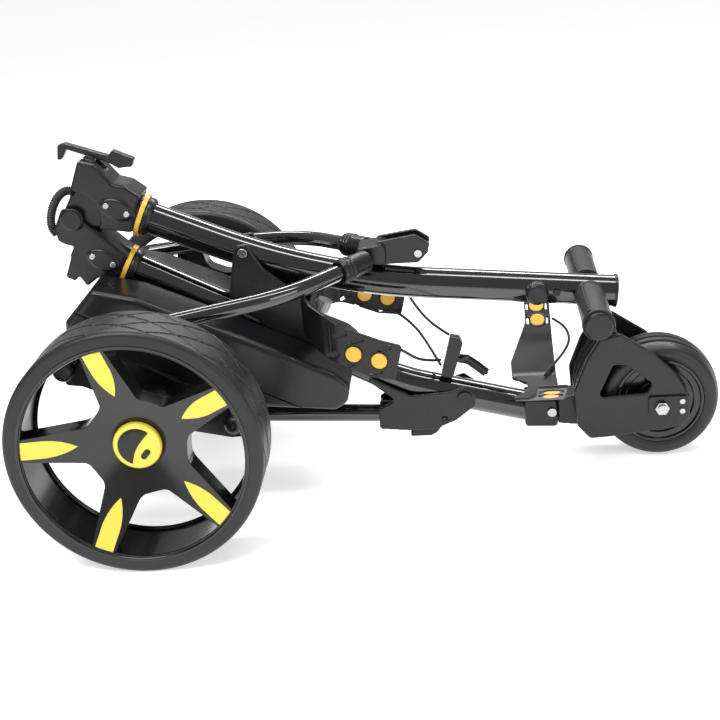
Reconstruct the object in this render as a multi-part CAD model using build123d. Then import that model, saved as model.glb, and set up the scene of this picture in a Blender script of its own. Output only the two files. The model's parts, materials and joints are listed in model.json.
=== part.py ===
from build123d import *
import os
from math import atan2, cos, degrees, hypot, radians, sin, tan

# Electric golf trolley, folded flat: the handle tube lies forward over the frame.
# Millimetres. +X forward, +Y to the trolley's left, +Z up. Lengths along X are first given
# from the rear axle; every solid is moved by SHIFT at export, so that the origin lies on
# the floor under the middle of the overall length.

# ---- driving dimensions -------------------------------------------------------------
REAR_R = 157.5          # rear wheel radius
REAR_OUT = 300.0        # outer face of the rear tyres, from the mid-plane
REAR_IN = 220.0         # inner face of the rear tyres
FRONT_X = 657.0         # front axle, ahead of the rear axle
FRONT_R = 82.0          # front wheel radius
SHIFT = -(FRONT_X + FRONT_R - REAR_R) / 2

TUBE_R = 21.0           # main and handle tubes
WALL = 2.0
FIT = 0.05              # radial clearance of a running fit

HINGE = (-110.0, 379.0)         # main hinge pin, X and Z
FOLD = (395.0, 97.0)            # fold bracket pin
AXLE = (0.0, REAR_R)
SWING = (-99.0, 231.0)          # anti-tip frame pivots
MAIN_TOP = (-78.0, 319.2)       # start of the main tube, inside the lower hinge bracket
MAIN_BEND = (309.0, 116.0)
MAIN_END = (503.0, 64.8)
MAIN_BEND_R = 300.0
HANDLE_TOP = (-62.0, 390.5)     # start of the handle tube, inside the upper hinge bracket
HANDLE_BEND = (206.0, 271.3)
HANDLE_END = (600.0, 232.3)
HANDLE_BEND_R = 930.0
TBAR = (566.0, 235.6)           # T-bar axis
TBAR_HALF = 147.0
BRACKET_W = 27.0                # half width of the hinge brackets
LUG_W = 17.5                    # half width of the hinge knuckle
KNUCKLE_R = 37.5

os.makedirs("parts", exist_ok=True)


# ---- helpers ------------------------------------------------------------------------
def side(y):
    """Drawing plane parallel to XZ at the given Y; its normal points to -Y."""
    return Plane(origin=(0, y, 0), x_dir=(1, 0, 0), z_dir=(0, -1, 0))


def slab(points, y_low, y_high, radius=3.0):
    """A side-view outline with rounded corners, extruded from y_low to y_high."""
    face = make_face(FilletPolyline(*points, radius=radius, close=True))
    return extrude(side(y_high) * face, amount=y_high - y_low)


def round_bar(x, z, r, y_low, y_high, bore=0.0):
    """A cylinder or ring along Y."""
    face = Circle(r)
    if bore > 0:
        face = face - Circle(bore)
    return extrude(side(y_high) * Pos(x, z) * face, amount=y_high - y_low)


def rod(start, end, r, bore=0.0):
    """A straight rod or pipe between two points."""
    start = Vector(*start)
    end = Vector(*end)
    face = Circle(r)
    if bore > 0:
        face = face - Circle(bore)
    plane = Plane(origin=start, z_dir=end - start)
    return extrude(plane * face, amount=(end - start).length)


def pipe(path, r, bore=0.0):
    """A tube swept along a path."""
    face = Circle(r)
    if bore > 0:
        face = face - Circle(bore)
    return sweep(Plane(origin=path @ 0, z_dir=path % 0) * face, path=path)


def both(shape):
    """The shape and its mirror image across the mid-plane."""
    return [shape, mirror(shape, about=Plane.XZ)]


def on_line(a, b, t):
    """The side-view point at distance t from a towards b."""
    length = hypot(b[0] - a[0], b[1] - a[1])
    return (a[0] + (b[0] - a[0]) * t / length, a[1] + (b[1] - a[1]) * t / length)


def xz(point, y=0.0):
    return (point[0], y, point[1])


def save(name, shape):
    """Write one sub-part; a list is a group of separate solids."""
    solids = shape if isinstance(shape, list) else [shape]
    moved = [Pos(SHIFT, 0, 0) * part for solid in solids for part in solid.solids()]
    if len(moved) == 1:
        export_step(moved[0], f"parts/{name}.step")
    else:
        export_step(Compound(children=moved), f"parts/{name}.step")


# ---- rear wheels --------------------------------------------------------------------
RIM_R = 144.0           # rim barrel outer radius, where the tyre sits
BARREL_IN = 139.0
SPOKES = 5
SPOKE_TURN = 31.2       # direction of the first spoke, degrees above +X
SPOKE_T = 13.0
HUB_FACE = 264.0        # the recessed hub's outer face
CONE = (REAR_OUT - 1.5 - HUB_FACE) / (BARREL_IN - 30.0)     # outward slope of the spokes
HUB_R = 30.0
INSERT_TIP = 70.6
INSERT_WAIST = 108.0    # the inlay's sides are parallel outside this radius
INSERT_PROUD = 0.8
DRIVE_R = 6.0


def polar(r, angle, offset=0.0):
    """Point at radius r along a spoke's direction, moved sideways by offset."""
    a = radians(angle)
    return (r * cos(a) - offset * sin(a), r * sin(a) + offset * cos(a))


def spoke_cone(lift, thickness):
    """Conical disc that carries the spokes' faces; lift raises its outer face."""
    def face_y(r):
        return -(HUB_FACE + CONE * (r - HUB_R) + lift)
    profile = Polyline((0.01, face_y(HUB_R)), (HUB_R, face_y(HUB_R)), (BARREL_IN + 1, face_y(BARREL_IN + 1)),
                       (BARREL_IN + 1, face_y(BARREL_IN + 1) + thickness), (HUB_R, face_y(HUB_R) + thickness),
                       (0.01, face_y(HUB_R) + thickness), close=True)
    return Pos(0, 0, REAR_R) * revolve(make_face(profile), axis=Axis.Y)


def insert_outline(angle, grow):
    """Tapered inlay outline on one spoke, from the rim to its pointed tip."""
    half = 11.3 + grow
    outer = BARREL_IN - 1.0 + grow
    tip = INSERT_TIP - grow
    left, right = polar(outer, angle, half), polar(outer, angle, -half)
    waist_l, waist_r = polar(INSERT_WAIST, angle, half), polar(INSERT_WAIST, angle, -half)
    point = polar(tip, angle)
    bulge_l = polar(INSERT_WAIST - 19, angle, half * 0.72)
    bulge_r = polar(INSERT_WAIST - 19, angle, -half * 0.72)
    edge = [ThreePointArc(point, bulge_r, waist_r), Line(waist_r, right),
            ThreePointArc(right, polar(outer + 0.6, angle), left), Line(left, waist_l),
            ThreePointArc(waist_l, bulge_l, point)]
    return make_face(Curve() + edge)


def star_outline():
    """Five tapering spokes that flare together round the hub."""
    points = []
    for i in range(SPOKES):
        angle = SPOKE_TURN + 72 * i
        points.append(polar(60, angle, -23))
        points.append(polar(BARREL_IN + 2, angle, -14))
        points.append(polar(BARREL_IN + 2, angle, 14))
        points.append(polar(60, angle, 23))
    radii = [9.0, 0.6, 0.6, 9.0] * SPOKES
    return make_face(FilletPolyline(*points, radius=radii, close=True))


def through(face):
    """A side-view face, drawn about the axle, extruded through the right wheel's width."""
    return extrude(side(-REAR_IN + 5) * Pos(0, REAR_R) * face, amount=REAR_OUT - REAR_IN + 10)


def right_wheel():
    """All pieces of the right rear wheel, on the -Y side."""
    inner = -REAR_IN
    outer = -REAR_OUT
    tyre_profile = make_face(FilletPolyline((RIM_R, inner), (REAR_R, inner), (REAR_R, outer), (RIM_R, outer),
                                            radius=[1.5, 7.0, 7.0, 1.5], close=True))
    tyre = Pos(0, 0, REAR_R) * revolve(tyre_profile, axis=Axis.Y)
    barrel = round_bar(0, REAR_R, RIM_R, outer + 1.5, inner - 2, bore=BARREL_IN)
    hub = round_bar(0, REAR_R, 22, -HUB_FACE - 1, inner - 6)
    inlays = []
    for i in range(SPOKES):
        inlays.append(spoke_cone(INSERT_PROUD, 2.4) & through(insert_outline(SPOKE_TURN + 72 * i, 0)))
    pockets = [through(insert_outline(SPOKE_TURN + 72 * i, 0.12)) & spoke_cone(2.0, 3.8) for i in range(SPOKES)]
    rim = (spoke_cone(0, SPOKE_T) & through(star_outline())) + barrel + hub
    for pocket in pockets:
        rim = rim - pocket
    rim = rim - round_bar(0, REAR_R, DRIVE_R, -HUB_FACE - 12, inner)
    rim = rim - round_bar(0, REAR_R, 9, -HUB_FACE - 6, -HUB_FACE + 10)
    cap = round_bar(0, REAR_R, HUB_R, -HUB_FACE - 8, -HUB_FACE - 1.02)
    cap = fillet(cap.edges().filter_by(GeomType.CIRCLE).sort_by(Axis.Y)[0], 3.5)
    cap = cap - button_solid(0.25, 12)
    rim = rim - button_solid(0.25, 16)
    button = button_solid(0, 11)
    axle = round_bar(0, REAR_R, DRIVE_R, -HUB_FACE + 10.5, -192)
    return {"tyre": tyre, "rim": rim, "spoke_inserts": inlays, "hub_cap": cap, "release_button": button,
            "drive_axle": axle}


def button_solid(grow, depth):
    """Slanted oval push button beside the hub's centre."""
    outline = SlotCenterToCenter(7.5, 7.0 + 2 * grow)
    place = side(-HUB_FACE - 8.6 + depth) * Pos(9.5, REAR_R - 10.5) * Rot(0, 0, 48)
    return extrude(place * outline, amount=depth + (1 if grow else 0))


for piece, solid in right_wheel().items():
    save(f"rear_{piece}_right", solid)
    mirrored = [mirror(s, about=Plane.XZ) for s in (solid if isinstance(solid, list) else [solid])]
    save(f"rear_{piece}_left", mirrored)


# ---- axle unit: housing, motors, chassis ---------------------------------------------
HOUSING_W = 105.0
SHELL = 3.0
MOTOR_R = 28.0
GEAR_R = 34.0
PLATE_IN = 150.0
PLATE_OUT = 158.0
VALLEY_W = 34.5


def main_axis(x):
    """Height of the rear part of the main tube's axis at x."""
    slope = (MAIN_BEND[1] - MAIN_TOP[1]) / (MAIN_BEND[0] - MAIN_TOP[0])
    return MAIN_TOP[1] + slope * (x - MAIN_TOP[0])


HOUSING = [(-122, 226), (-118, 262), (-78, 304), (-20, 290), (88, 240), (232, 170), (247, 156), (242, 130),
           (226, 120), (96, 133), (-36, 184)]
HOUSING_INNER = [(-118, 228), (-114, 260), (-76, 300), (-20, 286), (88, 236), (229, 167.5), (242, 154), (238, 132),
                 (224, 124), (96, 137), (-34, 188)]


def housing_blank(points, half, corner):
    blank = slab(points, -half, half, 8)
    sides = blank.faces().sort_by(Axis.Y)
    return fillet(sides[0].edges() + sides[-1].edges(), corner)


housing = housing_blank(HOUSING, HOUSING_W, 7.5)
hollow = housing_blank(HOUSING_INNER, HOUSING_W - SHELL, 5.5)
valley = slab([(-140, main_axis(-140) - 35), (260, main_axis(260) - 35), (260, 330), (-140, 420)],
              -VALLEY_W, VALLEY_W, 2)
valley_skin = slab([(-140, main_axis(-140) - 38.5), (260, main_axis(260) - 38.5), (260, 330), (-140, 420)],
                   -VALLEY_W - SHELL, VALLEY_W + SHELL, 2)
motor_bay = round_bar(0, REAR_R, MOTOR_R + 0.6, -HOUSING_W - 5, HOUSING_W + 5)
motor_skin = round_bar(0, REAR_R, MOTOR_R + 3.4, -HOUSING_W - 5, HOUSING_W + 5)
shell = (housing - valley) - ((hollow - valley_skin) - motor_skin) - motor_bay
SPLIT_DROP = 58.0       # the shells part on a plane parallel to the main tube
split_ends = [(x, main_axis(x) - SPLIT_DROP) for x in (-200, 400)]
split = slab(split_ends + [(400, 500), (-200, 600)],
             -200, 200, 1)
save("housing_cover", shell & split)
save("housing_tray", shell - Pos(0, 0, -0.2) * split)

tilt = degrees(atan2(MAIN_BEND[1] - MAIN_TOP[1], MAIN_BEND[0] - MAIN_TOP[0]))
battery_box = Box(112, 150, 36)
battery_box = fillet(battery_box.edges().filter_by(Axis.Y), 4)
save("battery", Pos(-32, 0, 232.5) * Rot(0, -tilt, 0) * battery_box)

motor = round_bar(0, REAR_R, MOTOR_R, -PLATE_IN + 0.2, -14)
motor = chamfer(motor.edges().filter_by(GeomType.CIRCLE), 1.5)
save("drive_motors", both(motor))
gear_case = round_bar(0, REAR_R, GEAR_R, -212, -PLATE_OUT)
gear_case = fillet(gear_case.edges().filter_by(GeomType.CIRCLE).sort_by(Axis.Y)[0], 5)
BEARING_R = 14.0
gear_case = gear_case - round_bar(0, REAR_R, BEARING_R, -213, -204) - round_bar(0, REAR_R, 9, -213, -186)
save("gearboxes", both(gear_case))
save("axle_bearings", both(round_bar(0, REAR_R, BEARING_R, -212, -204, bore=DRIVE_R + FIT)))

RAIL = [(-112, 196), (-112, 243), (-94, 248), (0, 212), (34, 192), (112, 160), (113, 114), (94, 113), (28, 128),
        (-28, 129), (-62, 180), (-90, 193)]
CROSS_BARS = ((-99, 203), (103, 122))
rail = slab(RAIL, -PLATE_OUT, -PLATE_IN, 5)
rail = rail - round_bar(0, REAR_R, 12, -PLATE_OUT - 1, -PLATE_IN + 1)
rail = rail + rod(xz(SWING, -PLATE_OUT + 1), xz(SWING, -193.5), 6)
chassis = rail + mirror(rail, about=Plane.XZ)
for x, z in CROSS_BARS:
    chassis = chassis + round_bar(x, z, 7, -PLATE_IN - 1, PLATE_IN + 1)
LINK_R = 12.25
LINK_A = (96.0, 78.4)
LINK_B = (312.0, 67.6)
hanger = slab([(90, 128), (116, 126), (112, 66), (84, 66)], -16, 16, 4)
hanger = hanger - rod(xz(on_line(LINK_A, LINK_B, -30)), xz(on_line(LINK_A, LINK_B, 60)), LINK_R)
chassis = chassis + hanger
save("axle_chassis", chassis)

knob = round_bar(SWING[0], SWING[1], 13, -206, -194)
knob = fillet(knob.edges().filter_by(GeomType.CIRCLE), 4)
FOOT = (101.0, 137.0)
foot = Pos(FOOT[0], -172, FOOT[1]) * Sphere(12.5) + rod((FOOT[0] - 3, -PLATE_OUT, 150), xz(FOOT, -172), 6)
foot = foot & Pos(0, -PLATE_OUT - 50, 100) * Box(900, 100, 400)
save("frame_knobs", both(knob) + both(foot))

save("link_tube", rod(xz(LINK_A), xz(LINK_B), LINK_R, bore=LINK_R - WALL))

# fold bracket: two cheeks that straddle the front tube, and a collar on the link tube
CHEEK_IN = 23.0
CHEEK_OUT = 27.0
CHEEK = [(240, 148), (322, 104), (376, 108), (395, 114), (411, 102), (408, 84), (382, 64), (352, 52), (314, 52),
         (276, 56), (276, 86), (300, 98)]
cheek = slab(CHEEK, -CHEEK_OUT, -CHEEK_IN, 3.5)
collar = rod(xz(on_line(LINK_A, LINK_B, 180)), xz(on_line(LINK_A, LINK_B, 216)), 18, bore=LINK_R + 0.02)
web = slab([(306, 56), (306, 80), (316, 80), (318, 56)], -CHEEK_IN - 1, CHEEK_IN + 1, 1.5)
web = web - rod(xz(on_line(LINK_A, LINK_B, 150)), xz(on_line(LINK_A, LINK_B, 217)), LINK_R + 0.02)
fold_bracket = cheek + mirror(cheek, about=Plane.XZ) + collar + web
flange = slab([(277, 57), (277, 84), (281, 84), (281, 57)], -CHEEK_IN - 1, CHEEK_IN + 1, 1)
flange = flange - rod(xz(on_line(LINK_A, LINK_B, 150)), xz(on_line(LINK_A, LINK_B, 217)), LINK_R + 0.02)
fold_bracket = fold_bracket + flange - round_bar(FOLD[0], FOLD[1], 6, -CHEEK_OUT - 1, CHEEK_OUT + 1)
LOCK = (366.0, 67.0)
fold_bracket = fold_bracket - round_bar(LOCK[0], LOCK[1], 3, -CHEEK_OUT - 1, CHEEK_OUT + 1)
save("fold_bracket", fold_bracket)
fold_bolt = round_bar(FOLD[0], FOLD[1], 6, -CHEEK_OUT - 3, CHEEK_OUT + 3)
fold_bolt = fold_bolt + round_bar(FOLD[0], FOLD[1], 10, -CHEEK_OUT - 5, -CHEEK_OUT)
fold_bolt = fold_bolt + round_bar(FOLD[0], FOLD[1], 10, CHEEK_OUT, CHEEK_OUT + 5)
lock_pin = round_bar(LOCK[0], LOCK[1], 3, -CHEEK_OUT - 1.5, CHEEK_OUT + 1.5)
save("fold_bolt", [fold_bolt, lock_pin])

LEVER_W = 20.0
lock_lever = slab([(322, 47), (322, 51), (350, 51), (366, 73), (373, 67), (366, 58), (354, 44),
                   (346, 40), (318, 40), (318, 47)], -LEVER_W, LEVER_W, 1.2)
lock_lever = lock_lever - round_bar(LOCK[0], LOCK[1], 3 + FIT, -LEVER_W - 1, LEVER_W + 1)
save("lock_lever", lock_lever)


# ---- main frame -----------------------------------------------------------------------
main_path = FilletPolyline(xz(MAIN_TOP), xz(MAIN_BEND), xz(MAIN_END), radius=MAIN_BEND_R)
main_tube = pipe(main_path, TUBE_R, TUBE_R - WALL)
main_tube = main_tube - round_bar(FOLD[0], FOLD[1], 6 + FIT, -30, 30)
save("main_tube", main_tube)


def bracket_sleeve(top, bend, start, ring_at):
    """Round socket of a hinge bracket, from start to just past the gold ring."""
    a = on_line(top, bend, start)
    b = on_line(top, bend, ring_at + 13)
    return rod(xz(a), xz(b), 25.5)


def beyond_ring(top, bend, ring_at):
    """Everything from the gold ring outwards, where only the round sleeve goes on."""
    return rod(xz(on_line(top, bend, ring_at - 0.3)), xz(on_line(top, bend, ring_at + 60)), 60)


def gold_ring(top, bend, ring_at):
    a = on_line(top, bend, ring_at)
    b = on_line(top, bend, ring_at + 6)
    return rod(xz(a), xz(b), 29.0, bore=25.55)


def oval_pad(centre, angle):
    """Raised oval plate on both faces of a hinge bracket."""
    face = Ellipse(21, 12)
    pad = extrude(side(BRACKET_W + 1.6) * Pos(*centre) * Rot(0, 0, angle) * face, amount=2 * BRACKET_W + 3.2)
    return pad


def pan_screws(points, y, r=4.2, height=1.6):
    """Cross-recessed screw heads standing on both faces."""
    heads = []
    for x, z in points:
        head = round_bar(x, z, r, -y - height, -y)
        head = fillet(head.edges().filter_by(GeomType.CIRCLE).sort_by(Axis.Y)[0], 1.0)
        for turn in (0, 90):
            slot = extrude(side(-y - 0.9) * Pos(x, z) * Rot(0, 0, turn + 20) * Rectangle(4.2, 0.9), amount=2)
            head = head - slot
        heads += both(head)
    return heads


LOWER_RING = 29.0       # distance of the ring along the main tube
LOWER = [(-98, 375), (-54, 334), (-40, 322), (-68, 284), (-86, 297), (-104, 285), (-113, 301), (-119, 293),
         (-131, 300), (-120, 327), (-134, 352), (-136, 368), (-124, 392), (-106, 394)]
lower_bracket = slab(LOWER, -BRACKET_W, BRACKET_W, 2.5)
lower_bracket = lower_bracket + round_bar(HINGE[0], HINGE[1], 14.5, -BRACKET_W - 2, BRACKET_W + 2)
lower_bracket = lower_bracket + oval_pad((-77, 320.5), tilt) - beyond_ring(MAIN_TOP, MAIN_BEND, LOWER_RING)
lower_bracket = lower_bracket + bracket_sleeve(MAIN_TOP, MAIN_BEND, -2, LOWER_RING)
unfolded = slab([(-134.4, 303), (-123.1, 324.4), (-108, 353.2), (-95, 370), (-170, 370), (-170, 303)],
                -BRACKET_W - 5, BRACKET_W + 5)
unfolded = unfolded - round_bar(HINGE[0], HINGE[1], KNUCKLE_R - 0.4, -40, 40)
lower_bracket = lower_bracket - unfolded
lower_bracket = lower_bracket - round_bar(HINGE[0], HINGE[1], KNUCKLE_R + 1.5, -LUG_W - 0.6, LUG_W + 0.6)
lower_bracket = lower_bracket - slab([(-145, 270), (-145, 345), (-118, 345), (-92, 312), (-92, 270)], -10, 10, 1)
lower_bracket = lower_bracket - rod(xz(MAIN_TOP), xz(on_line(MAIN_TOP, MAIN_BEND, 80)), TUBE_R + 0.02)
lower_bracket = lower_bracket - round_bar(HINGE[0], HINGE[1], 6, -40, 40)
save("lower_hinge_bracket", lower_bracket)
save("lower_gold_ring", gold_ring(MAIN_TOP, MAIN_BEND, LOWER_RING))
pin = round_bar(HINGE[0], HINGE[1], 6, -BRACKET_W - 3.5, BRACKET_W + 3.5)
pin_head = round_bar(HINGE[0], HINGE[1], 12, BRACKET_W + 2, BRACKET_W + 4.5)
pin = pin + pin_head + mirror(pin_head, about=Plane.XZ)
save("hinge_pin", pin)

# upper bag cradle: saddle on the main tube, whose two ears also steady the folded handle
SADDLE_W = 31.0
SADDLE = [(88, 262), (97, 312), (104, 331), (119, 333), (128, 314), (138, 297), (162, 277), (184, 257), (202, 240),
          (206, 168), (186, 169), (166, 180)]
saddle = slab(SADDLE, -SADDLE_W, SADDLE_W, 4)
rest_gap = slab([(70, 262), (150, 222), (240, 214), (240, 360), (70, 360)], -SADDLE_W + 6.5, SADDLE_W - 6.5, 3)
saddle = saddle - (rest_gap & slab([(60, main_axis(60) + 28), (180, main_axis(180) + 28), (196, 252), (250, 252),
                                    (250, 370), (60, 370)], -50, 50, 1))
KNOB = (206.0, 0.0, 226.0)
knob_dir = Vector(sin(radians(-tilt)), 0, cos(radians(-tilt)))
knob_plane = Plane(origin=KNOB, x_dir=(0, 1, 0), z_dir=knob_dir)
saddle = saddle - extrude(knob_plane.offset(-0.5) * Circle(12.5), amount=40)
saddle = saddle + rod(tuple(Vector(*KNOB) - knob_dir * 30), tuple(Vector(*KNOB) - knob_dir * 0.3), 7)
saddle = saddle - rod(xz(MAIN_TOP), xz(MAIN_BEND), TUBE_R + 0.02)
save("cradle_saddle", saddle)

ARM_T = 5.0
ARM_ROUTE = [(186, -34), (200, -76), (224, -116), (320, -128)]


def upper_arm():
    """One side arm: a tapered strap that leaves the saddle and runs beside the tube."""
    plan = FilletPolyline(*ARM_ROUTE, radius=30)
    wide = offset(plan, amount=ARM_T / 2, side=Side.BOTH)
    prism = extrude(Plane.XY.offset(120) * make_face(wide), amount=180)
    profile = slab([(176, 262), (222, 256), (245, 242), (292, 224), (320, 216.5), (308, 169), (275, 174.5),
                    (216, 201), (176, 208)], -150, -20, 5)
    arm = prism & profile
    return arm


arm = upper_arm()
ARM_DIR = Vector(96, -12, 0).normalized()
arm_plane_y = Vector(ARM_DIR.Y, -ARM_DIR.X, 0)


def on_arm(x, z):
    """Frame on the arm's outer face at height z above the plan position x."""
    t = (x - 224) / 96
    return Plane(origin=(x, -116 - 12 * t, z), x_dir=(ARM_DIR.X, ARM_DIR.Y, 0), z_dir=arm_plane_y)


PAD_R = 10.5
pads = []
for x, z in ((257, 205.5), (289.5, 196.5)):
    arm = arm - extrude(on_arm(x, z) * Circle(PAD_R + 0.02), amount=8, both=True)
    pad = extrude(on_arm(x, z) * Circle(PAD_R), amount=ARM_T / 2 + 1.4, both=True)
    pads += both(fillet(pad.edges().filter_by(GeomType.CIRCLE), 1.2))
for x, z in ((241, 231.5), (262.5, 224), (297, 213), (229, 204), (249, 190.5), (284, 180.5)):
    arm = arm - extrude(on_arm(x, z) * Rot(0, 0, 17) * Rectangle(17, 5.5), amount=8, both=True)
arm = arm - saddle
arm = arm.solids().sort_by(SortBy.VOLUME)[-1]
save("upper_cradle_arms", both(arm))
save("upper_cradle_pads", pads)

knurl = Circle(10.5)
for i in range(18):
    knurl = knurl - PolarLocations(10.9, 1, start_angle=20 * i) * Circle(0.9)
save("cradle_knob", extrude(knob_plane * knurl, amount=16))

# front end: collar, fork, axle
collar_block = slab([(476, 49), (476, 90), (521, 88), (521, 47)], -25, 25, 5)
collar_block = fillet(collar_block.edges().filter_by(GeomType.LINE).filter_by(Axis.X, tolerance=5), 4)
tube_seat = rod(xz(on_line(MAIN_END, MAIN_BEND, 60)), xz(MAIN_END), TUBE_R + 0.02)
save("front_collar", collar_block - tube_seat)

CHEEK_GAP = 42.0
FORK_T = 7.0
FORK = [(542, 110), (558, 152), (576, 181), (602, 188), (648, 157), (675, 130), (695, 94), (695, 62), (678, 50),
        (596, 40), (562, 38), (545, 58)]
WINDOW = [(573, 98), (594, 144), (611, 143), (645, 115), (638, 101)]
fork_cheek = slab(FORK, -CHEEK_GAP - FORK_T, -CHEEK_GAP, 7)
outer_edges = fork_cheek.faces().sort_by(Axis.Y)[0].edges()
fork_cheek = fillet(outer_edges, 2.5) - slab(WINDOW, -60, -30, 5)
guard_face = Circle(108) - Circle(101)
guard = extrude(side(CHEEK_GAP + 1) * Pos(FRONT_X, FRONT_R) * guard_face, amount=2 * CHEEK_GAP + 2)
for y in (-30, -10, 10, 30):
    guard = guard + extrude(side(y + 2) * Pos(FRONT_X, FRONT_R) * (Circle(112) - Circle(105)), amount=4)
guard = guard & slab([(FRONT_X, FRONT_R), (FRONT_X - 72, FRONT_R + 125), (FRONT_X - 190, FRONT_R + 60),
                      (FRONT_X - 150, FRONT_R - 30)], -60, 60, 0.5)
neck = slab([(521.3, 50), (521.3, 86), (546, 92), (556, 88), (553, 46)], -19, 19, 3)
neck = neck - round_bar(FRONT_X, FRONT_R, 101, -60, 60)
fork = fork_cheek + mirror(fork_cheek, about=Plane.XZ) + guard + neck
fork = fork - round_bar(FRONT_X, FRONT_R, 6, -60, 60)
save("front_fork", fork)

front_axle = round_bar(FRONT_X, FRONT_R, 6, -62, 62)
hexagon = RegularPolygon(radius=9.5, side_count=6)
nut = extrude(side(-53) * Pos(FRONT_X, FRONT_R) * hexagon, amount=6)
front_axle = front_axle + nut + mirror(nut, about=Plane.XZ)
ADJUSTER = [(640, 70), (640, 97), (691, 97), (691, 69), (668, 62), (648, 62)]
adjuster = slab(ADJUSTER, -53, -49, 4) - round_bar(FRONT_X, FRONT_R, 6, -60, -40)
adjust_screws = []
for z in (90, 76):
    head = round_bar(684, z, 3.6, -55, -53)
    adjust_screws.append(head)
save("front_axle", [front_axle] + both(adjuster))

TYRE_W = 35.0
front_profile = make_face(FilletPolyline((60, TYRE_W - 3), (70, TYRE_W), (78, TYRE_W - 6), (FRONT_R, 16),
                                         (FRONT_R, -16), (78, -TYRE_W + 6), (70, -TYRE_W), (60, -TYRE_W + 3),
                                         radius=2.0, close=True))
front_tyre = Pos(FRONT_X, 0, FRONT_R) * revolve(front_profile, axis=Axis.Y)
for y in (-14, 0, 14):
    front_tyre = front_tyre - round_bar(FRONT_X, FRONT_R, FRONT_R + 1, y - 1.5, y + 1.5, bore=FRONT_R - 3)
save("front_tyre", front_tyre)
rim_half = make_face(Polyline((14, 30), (22, 30), (28, 14), (48, 10), (53, 29), (60, 29), (60, -29), (53, -29),
                              (48, -10), (28, -14), (22, -30), (14, -30), close=True))
front_rim = Pos(FRONT_X, 0, FRONT_R) * revolve(rim_half, axis=Axis.Y)
save("front_rim", front_rim)
bearing = round_bar(FRONT_X, FRONT_R, 14, -30, -20, bore=6 + FIT)
save("front_bearings", both(bearing))

# lower bag cradle on the front collar: a shallow V of two padded arms
CRADLE_X = (482.0, 522.0)
ARM_PLAN_X = 461.0      # the arms' broad roots reach back to here
V_ROUTE = [(0, 96.0), (40, 98), (110, 127), (175, 170)]
v_left = FilletPolyline(*V_ROUTE, radius=[40, 120])
v_strip = offset(v_left, amount=2.5, side=Side.BOTH)
v_plane = Plane(origin=(ARM_PLAN_X, 0, 0), x_dir=(0, 1, 0), z_dir=(1, 0, 0))
v_arm = extrude(v_plane * make_face(v_strip), amount=CRADLE_X[1] - ARM_PLAN_X + 4)
arm_plan = FilletPolyline((CRADLE_X[0], -0.1), (CRADLE_X[0], 14), (ARM_PLAN_X + 1, 34), (ARM_PLAN_X + 1, 66),
                          (476, 108), (487, 134), (487.5, 180), (CRADLE_X[1] + 2, 180), (CRADLE_X[1] + 2, -0.1),
                          radius=[0.5, 6, 6, 14, 14, 6, 6, 6, 0.5], close=True)
v_arm = v_arm & extrude(Plane.XY.offset(60) * make_face(arm_plan), amount=160)
V_DIR = Vector(0, 65, 43).normalized()
V_NORMAL = Vector(0, -V_DIR.Z, V_DIR.Y)


def on_v(along, x=505.0):
    """Frame on the upper face of the left arm, at a distance along it from its inner end."""
    base = Vector(0, 110, 127) + V_DIR * along
    return Plane(origin=(x, base.Y, base.Z), x_dir=(1, 0, 0), z_dir=(0, V_NORMAL.Y, V_NORMAL.Z))


lower_pads = []
V_PADS = (32.0, 58.0)
for along in V_PADS:
    v_arm = v_arm - extrude(on_v(along) * Circle(PAD_R + 0.02), amount=8, both=True)
    pad = extrude(on_v(along) * Circle(PAD_R), amount=3.9, both=True)
    lower_pads += both(fillet(pad.edges().filter_by(GeomType.CIRCLE), 1.2))
for along in V_PADS:
    for x in (491.0, 518.5):
        v_arm = v_arm - extrude(on_v(along, x) * Rectangle(3.0, 13), amount=8, both=True)
lower_cradle = v_arm + mirror(v_arm, about=Plane.XZ)
lower_cradle = lower_cradle - slab([(450, 101.6), (530, 80.4), (530, 60), (450, 60)], -30, 30)
save("lower_cradle", lower_cradle)
save("lower_cradle_pads", lower_pads)

frame_screws = pan_screws(((-90, 327), (-64, 314)), BRACKET_W + 1.6)
frame_screws += pan_screws(((513, 70),), 25, r=6.5, height=3.0)
frame_screws += both(adjust_screws[0]) + both(adjust_screws[1])
frame_screws += pan_screws(((112, 321),), SADDLE_W, r=6.5, height=2.5)
save("frame_screws", frame_screws)


# ---- free elastic cords -----------------------------------------------------------------
CORD_R = 2.0


BUCKLE_Y = -8.0


def cord(name, points):
    """A cord along straight runs joined by arcs as large as the runs allow."""
    corners = [Vector(*p) for p in points]
    radii = []
    for before, here, after in zip(corners, corners[1:], corners[2:]):
        turn = (here - before).get_angle(after - here)
        shorter = min((here - before).length, (after - here).length)
        radii.append(0.45 * shorter / tan(radians(turn / 2)))
    path = FilletPolyline(*points, radius=radii)
    tube = pipe(path, CORD_R)
    expected = 3.14159265 * CORD_R ** 2 * path.length
    print(name, "length", round(path.length, 1), "radii", [round(r, 1) for r in radii],
          "volume ratio", round(tube.volume / expected, 4))
    save(name, tube)


cord("upper_cord_right", [(318.5, -124, 209), (325.4, -106, 197), (333.2, -86, 183), (341, -66, 172),
                          (348, -46, 163), (356, -28, 155), (364, -14, 150)])
cord("upper_cord_left", [(301, 122, 174), (310, 106, 174), (320, 90, 171), (331, 72, 166), (341, 54, 158),
                         (350, 36, 149), (358, 16, 142), (364, -2, 138)])
cord("upper_cord_top", [(314, 123, 213), (320, 105, 207.5), (329, 86, 199), (340, 66, 190), (352, 46, 184),
                        (365, 25, 180.5), (377, 6, 179)])
cord("lower_cord", [(526.6, 138, 147), (540, 127, 142), (548, 112, 133), (547, 95, 124.5), (538, 78, 117),
                    (527, 60, 111.5), (516, 44, 106.5), (508, 28, 102.5)])

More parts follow.
